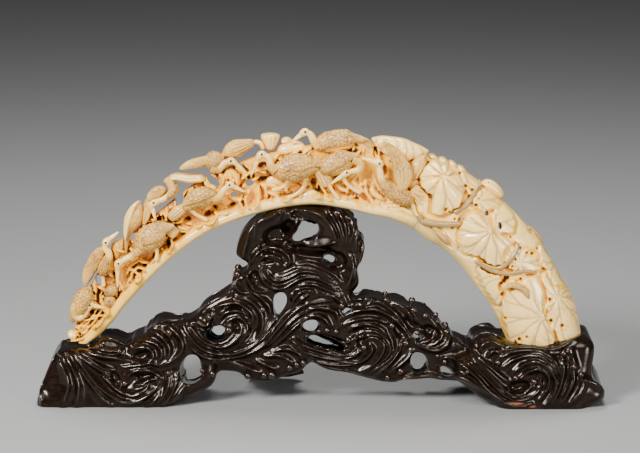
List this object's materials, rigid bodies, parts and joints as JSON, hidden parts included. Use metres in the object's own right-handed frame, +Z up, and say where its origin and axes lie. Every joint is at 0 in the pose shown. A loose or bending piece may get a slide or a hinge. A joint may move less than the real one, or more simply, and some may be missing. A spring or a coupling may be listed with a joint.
{
  "type": "carved hippopotamus tusk on a wooden stand",
  "caption": "Curved hippopotamus tusk carved in openwork with herons, lotus leaves and frogs, lying on a carved dark-wood stand of breaking waves.",
  "frame": {"origin": "middle of the object's outline at the floor", "axes": "+X to the tusk's base end, +Y to the back of the stand, +Z up"},
  "size_m": [0.4295, 0.0961, 0.2086],
  "materials": {
    "ivory": "carved ivory, polished on high places and stained amber in the recesses",
    "dark_wood": "dark hardwood, waxed and glossy, worn red-brown on edges"
  },
  "bodies": {
    "root": {"tusk": "ivory", "stand": "dark_wood"}
  },
  "joints": []
}
